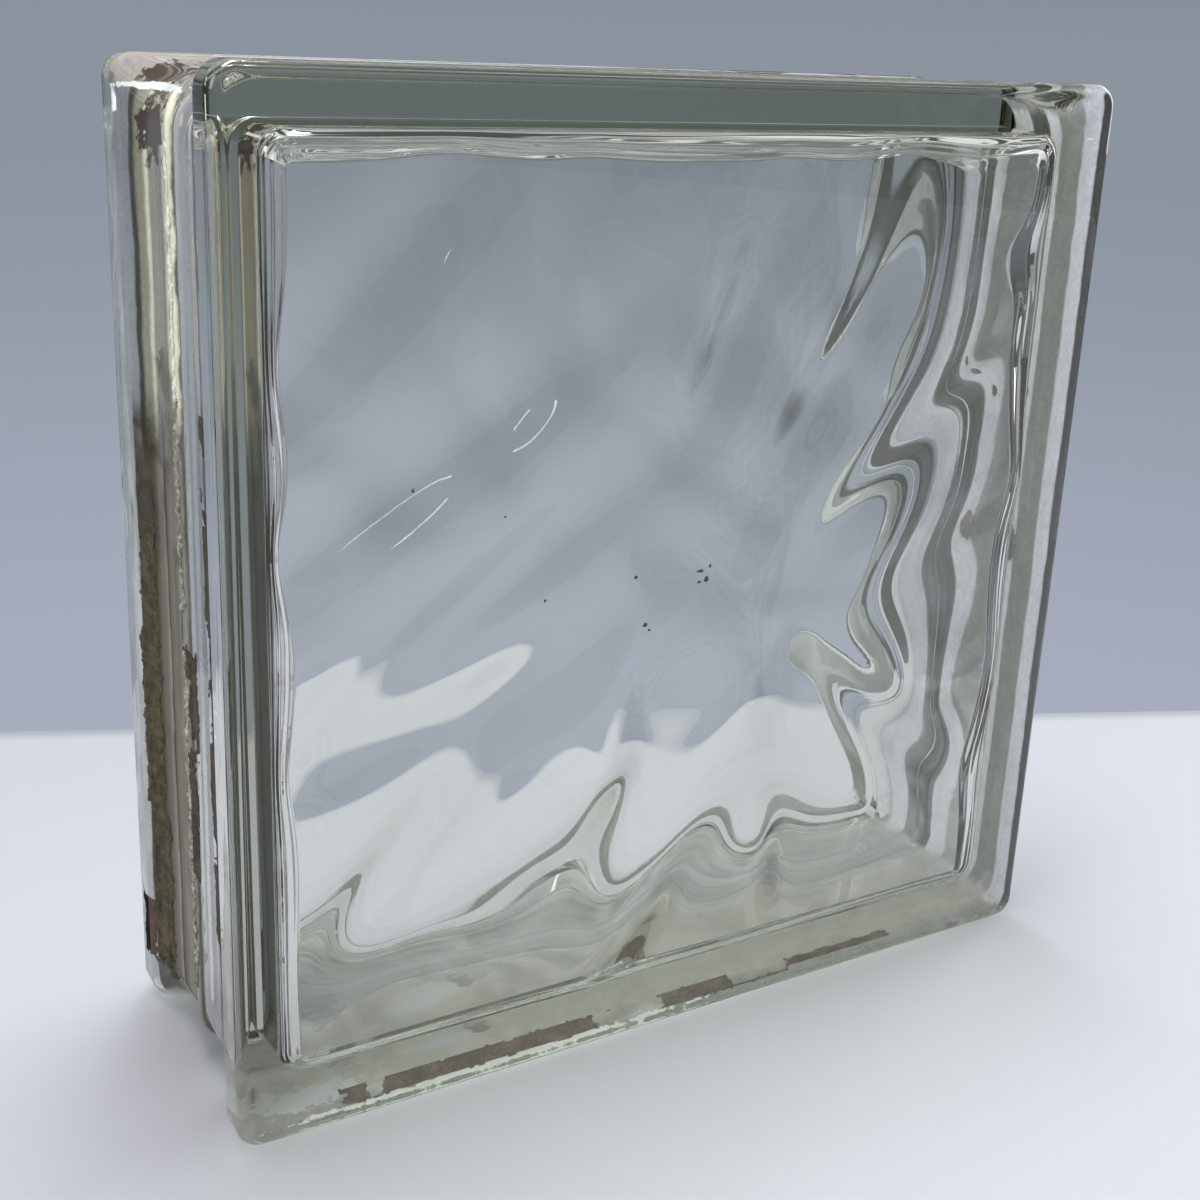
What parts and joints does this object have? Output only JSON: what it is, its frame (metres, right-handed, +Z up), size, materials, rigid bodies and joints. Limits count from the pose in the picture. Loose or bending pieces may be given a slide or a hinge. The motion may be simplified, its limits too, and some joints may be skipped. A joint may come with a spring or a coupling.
{
  "type": "glass block",
  "caption": "Square hollow glass wall block with a mortar channel round its rim, flat outer faces and wavy inner faces.",
  "frame": {"origin": "middle of the block's footprint, on the surface that its lower rims stand on", "axes": "+Z up as laid in a wall, +Y through the wall from the front pane to the back pane, +X to the right as the front pane is seen"},
  "size_m": [0.24, 0.08, 0.24],
  "materials": {
    "glass": "clear pressed glass with a faint grey-green cast, glossy",
    "mortar_residue": "dry grey-brown mortar and soil film, matt",
    "edge_coat": "thin grey-green edge coating with cream and olive streaks, flaked"
  },
  "bodies": {
    "root": {"front_half": "glass", "back_half": "glass"}
  },
  "joints": []
}
